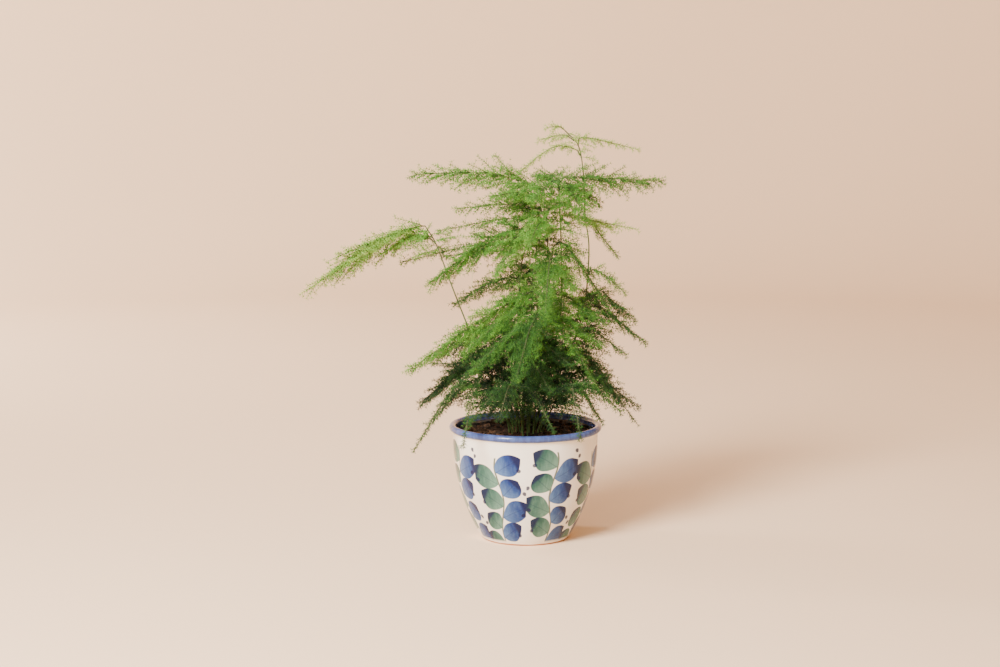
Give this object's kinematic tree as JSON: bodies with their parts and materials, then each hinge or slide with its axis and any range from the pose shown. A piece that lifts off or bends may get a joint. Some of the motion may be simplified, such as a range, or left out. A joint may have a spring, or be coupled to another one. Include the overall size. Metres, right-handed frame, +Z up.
{
  "type": "potted lace asparagus fern",
  "caption": "Lace asparagus fern with wiry stems and feathery fronds in a glazed, painted round pot.",
  "frame": {"origin": "middle of the pot's flat underside, which the part stands on", "axes": "+Z up, +X to the right and +Y to the back as the picture sees the plant"},
  "size_m": [0.3605, 0.2414, 0.4263],
  "materials": {
    "glazed_pot": "gloss",
    "soil": "matte",
    "light_foliage": "satin",
    "dark_foliage": "satin"
  },
  "bodies": {
    "root": {"pot": "glazed_pot", "soil": "soil", "stem_left_reaching": "light_foliage", "stem_fork": "light_foliage", "stem_upper_left": "light_foliage", "stem_mid_left": "light_foliage", "stem_upper_right": "light_foliage", "stem_tall_right": "light_foliage", "stem_right_arching": "light_foliage", "stem_big_front_left": "light_foliage", "stem_front": "light_foliage", "stem_right_trailing": "light_foliage", "stem_back_mid": "light_foliage", "stem_dark_middle": "dark_foliage", "stem_low_left": "dark_foliage", "stem_low_left_front": "dark_foliage", "stem_low_right": "dark_foliage", "stem_low_right_front": "dark_foliage", "stem_low_front": "dark_foliage", "stem_low_back_left": "dark_foliage", "stem_low_back_right": "dark_foliage"}
  },
  "joints": []
}
